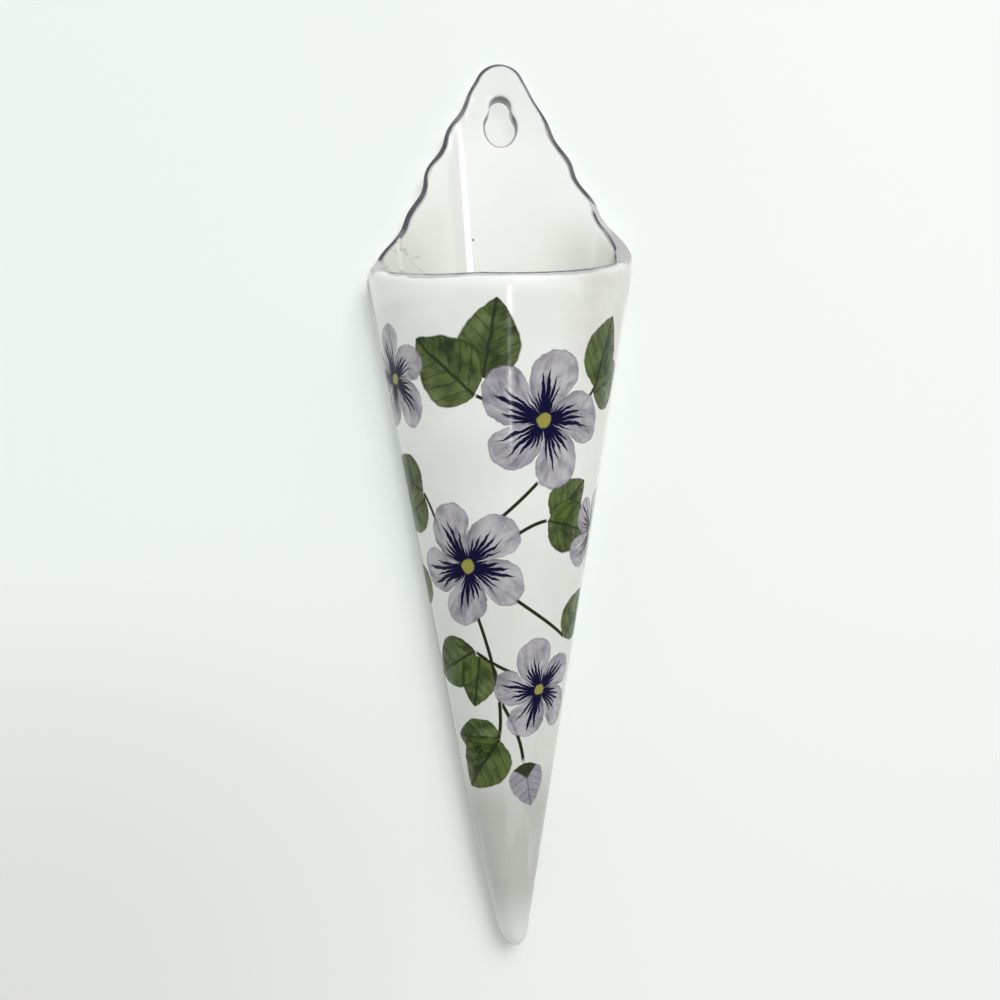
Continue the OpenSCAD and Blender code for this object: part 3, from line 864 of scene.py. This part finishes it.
def paint_flowers(tree, colour):
    """Five round petals, streaked and shaded to their gaps, with dark rays round a yellow eye."""
    x, y, number = motif(tree, "flower_at", 0.10)
    r = calc(tree, "SQRT", calc(tree, "ADD", product(tree, x, x), product(tree, y, y)))
    around = product(tree, calc(tree, "ARCTAN2", y, x), 1 / math.tau)
    turn = calc(tree, "ADD", product(tree, around, 5.0), calc(tree, "MULTIPLY_ADD", r, 0.30, 10.5))
    off = calc(tree, "SUBTRACT", calc(tree, "FRACT", turn), 0.5)
    petal = calc(tree, "MODULO", calc(tree, "FLOOR", turn), 5.0)
    lot = random_of(tree, calc(tree, "MULTIPLY_ADD", number, 7.0, petal), 1.0)
    crown = calc(tree, "COSINE", product(tree, off, math.pi))
    reach = product(tree, calc(tree, "MULTIPLY_ADD", calc(tree, "POWER", crown, 0.42), 0.60, 0.36),
                    calc(tree, "MULTIPLY_ADD", lot, 0.14, 0.90))
    room = calc(tree, "SUBTRACT", reach, r)
    strokes = joined(tree, product(tree, turn, 4.0), product(tree, r, 1.6), number)
    streak = clouds(tree, strokes, 1.3, 4.0, 0.62)
    blot = fade(tree, clouds(tree, joined(tree, x, y, number), 3.2, 3.0, 0.6), 0.42, 0.68)
    tone = fade(tree, room, 0.055, 0.005)
    for shade in (product(tree, fade(tree, off, 0.22, 0.50), 0.75),
                  product(tree, fade(tree, streak, 0.46, 0.75), 0.8), product(tree, blot, 0.55)):
        tone = calc(tree, "MAXIMUM", tone, shade)
    mask = product(tree, fade(tree, room, 0.0, 0.03),
                   calc(tree, "MULTIPLY_ADD", fade(tree, streak, 0.25, 0.6), 0.27, 0.71))
    rays = calc(tree, "MULTIPLY_ADD", around, 36.0, 60.0)
    lot = random_of(tree, calc(tree, "ADD", calc(tree, "FLOOR", rays), number), 1.7)
    length = product(tree, calc(tree, "MULTIPLY_ADD", lot, 0.33, 0.45),
                     calc(tree, "MULTIPLY_ADD", crown, 0.75, 0.40))
    slim = product(tree, calc(tree, "SUBTRACT", 1.0, calc(tree, "DIVIDE", r, length)), 0.95)
    ray = fade(tree, calc(tree, "SUBTRACT", slim, off_middle(tree, rays)), -0.05, 0.08)
    lilac = coats(tree, PETAL_LILAC, (tone, PETAL_SHADE))
    return coats(tree, colour, (mask, lilac), (ray, RAY_BLUE), (fade(tree, r, 0.115, 0.085), EYE_YELLOW))


tree, painted_glaze, place, colour = glaze_base("painted_glaze")
x, y, z = put(tree, "SeparateXYZ", place).outputs
# Painted light: the top of the front just under the rim is paler, as if light catches the rounded lip
rim_painted_light = product(tree, fade(tree, z, -0.0565, -0.0530), 0.7)
mottle = fade(tree, clouds(tree, place, 60.0, 3.0, 0.6), 0.30, 0.65)
duller = product(tree, fade(tree, x, 0.004, 0.026), fade(tree, z, -0.110, -0.062),
                 calc(tree, "MULTIPLY_ADD", mottle, 0.6, 0.3))
colour = coats(tree, colour, (rim_painted_light, RIM_PAINTED_LIGHT), (duller, DULL_GLAZE))
colour = paint_stems(tree, paint_leaves(tree, colour, "under_at"))
colour = paint_flowers(tree, paint_leaves(tree, colour, "leaf_at"))
glaze_surface(tree, place, edge_line(tree, place, colour))
front_mesh.materials.append(painted_glaze)

# Tip: the solid clay that closes the low end of the front, rolled to a blunt point and smoothed
# into the slab. Its skin carries on the front wall's, and its top is the floor of the pocket.
TIP_ROWS, NOSE_ROWS = 14, 12
bm = spun_grid(TIP_ROWS + NOSE_ROWS, WALL_STEPS)
ball = OUTER_APEX + AXIS * (NOSE_R / math.sin(CONE))
for column in range(WALL_STEPS + 1):
    way = wall_way(column)
    top, low = (FLOOR_Z - APEX_Z) / way.z, NOSE_R / math.tan(CONE)
    points = [skin_point(way, top + (low - top) * k / (TIP_ROWS - 1)) for k in range(TIP_ROWS)]
    radial = square_to(AXIS, way)
    drop = points[-1] - (OUTER_APEX + way * low)
    for k in range(1, NOSE_ROWS + 1):
        a = CONE + (math.pi / 2 - CONE) * k / NOSE_ROWS
        on_ball = ball + (radial * math.cos(a) - AXIS * math.sin(a)) * NOSE_R
        points.append(on_ball + drop * (1 - k / NOSE_ROWS))
    for row, p in enumerate(points):
        bm.verts[column * (TIP_ROWS + NOSE_ROWS) + row].co = (leaning(p.x, p.z), p.y, p.z)
close_up(bm)
tip_mesh = mesh_of(bm, "Tip")
finish_piece("Tip", tip_mesh, "tip_plug")
tree, tip_glaze, place, colour = glaze_base("tip_glaze")
glaze_surface(tree, place, colour)
tip_mesh.materials.append(tip_glaze)

# Seam coils: soft clay pressed into the two inside corners between slab and wall and smoothed with
# a finger, so that the pocket has no crack and the rim runs round onto the slab in one curve.
COIL_ROWS, BEND_ROWS, ACROSS_ROWS, FILLET_STEPS = 60, 3, 10, 40
SLAB_WAY = Vector((math.sin(COIL_FOOT), 0, math.cos(COIL_FOOT)))
slab_out, top_out, corner_out = (square_to(COIL_AXIS, w) for w in (SLAB_WAY, COIL_TOP_WAY, SEAM_WAY))
sweep = slab_out.angle(corner_out) + corner_out.angle(top_out)
sense = 1 if COIL_AXIS.dot(slab_out.cross(corner_out)) > 0 else -1
back_turn = hidden_turn if AXIS.dot(SEAM_WAY.cross(COIL_TOP_WAY)) > 0 else -hidden_turn


def edge_stroke(t, from_rim):
    """The stroke along the right coil's own edge, which starts where it nears the wall."""
    return from_rim / 0.0005 + 3 * ease(t, 0.65, 0.40)


def coil_line(at, t, side, from_rim):
    """Where the brushed line lies on a coil, which takes it from the slab over to the rim."""
    if side < 0:
        inset = edge_w(at.z, side) - abs(at.x)
        return min(inset / 0.0014, 3 - 1.5 * ease(t, 0.5, 0.95))
    inset = outline_gap(at.x, at.z, outer[side])
    by_line = 0.3 + abs(inset - corner_line(at.z)) / 0.0005 + 3 * ease(at.z, -0.0375, -0.0395)
    wash = 1.4 + max(0, inset - corner_line(at.z)) / 0.0003
    return min(edge_stroke(t, from_rim), by_line, wash)


for side, name, node_name in ((-1, "Left_seam_coil", "left_seam_coil"),
                              (1, "Right_seam_coil", "right_seam_coil")):
    rows = 2 * COIL_ROWS + 2 * BEND_ROWS + ACROSS_ROWS
    bm = spun_grid(rows, FILLET_STEPS)
    line_layer = bm.verts.layers.float.new("line_at")
    bm.verts.ensure_lookup_table()
    for column in range(FILLET_STEPS + 1):
        # The open face goes from the slab to the wall, and behind it the coil lies on both
        t = column / FILLET_STEPS
        behind = SLAB_WAY.lerp(SEAM_WAY, 2 * t).normalized()
        if t > 0.5:
            behind = Matrix.Rotation(back_turn * (2 * t - 1) ** 2, 3, AXIS) @ SEAM_WAY
        way = Matrix.Rotation(sense * sweep * t, 3, COIL_AXIS) @ SLAB_WAY
        way = way.lerp(behind, 0.25 * math.sin(math.pi * t) ** 2).normalized()
        top, low = rim_reach(INNER_APEX, way, side), (FLOOR_Z - INNER_Z) / way.z
        back_top, back_low = rim_reach(INNER_APEX, behind, side), (FLOOR_Z - INNER_Z) / behind.z
        rim_at, back_at = INNER_APEX + way * top, INNER_APEX + behind * back_top
        inner_edge, back_edge = rim_at - way * ROUND_IN, back_at - behind * ROUND_IN
        outer_at = OUTER_APEX + behind * rim_reach(OUTER_APEX, behind, side)
        over_rim = back_at + (outer_at - back_at).normalized() * ROUND_IN * max(0, 2 * t - 1)
        on_rim = rim_at.lerp(over_rim, min(1, ROUND_IN / max(1e-6, (over_rim - rim_at).length)))
        points = []
        for k in range(COIL_ROWS):
            points.append(INNER_APEX + way * (low + (top - ROUND_IN - low) * k / (COIL_ROWS - 1)))
        points += [bend(inner_edge, rim_at, on_rim, k / BEND_ROWS) for k in range(1, BEND_ROWS + 1)]
        for k in range(1, ACROSS_ROWS + 1):
            p = on_rim.lerp(over_rim, k / (ACROSS_ROWS + 1))
            if t < 1:
                p.z = rim_z(BODY_X + side * (p.x - BODY_X), p.y)
            points.append(p)
        points += [bend(back_edge, back_at, over_rim, k / BEND_ROWS) for k in range(BEND_ROWS, 0, -1)]
        for k in range(COIL_ROWS):
            reach = back_top - ROUND_IN + (back_low - back_top + ROUND_IN) * k / (COIL_ROWS - 1)
            points.append(INNER_APEX + behind * reach)
        for row, p in enumerate(points):
            vert = bm.verts[column * rows + row]
            from_rim = (p - rim_at).length
            vert.co = inside_outline(Vector((BODY_X + side * (p.x - BODY_X), p.y, p.z)), 0.0003)
            if row > COIL_ROWS:
                vert[line_layer] = coil_line(vert.co, t, side, from_rim)
            else:
                vert[line_layer] = edge_stroke(t, from_rim) if side > 0 else 9
    close_up(bm)
    coil_mesh = mesh_of(bm, name)
    finish_piece(name, coil_mesh, node_name)
    coil_mesh.materials.append(white_glaze)
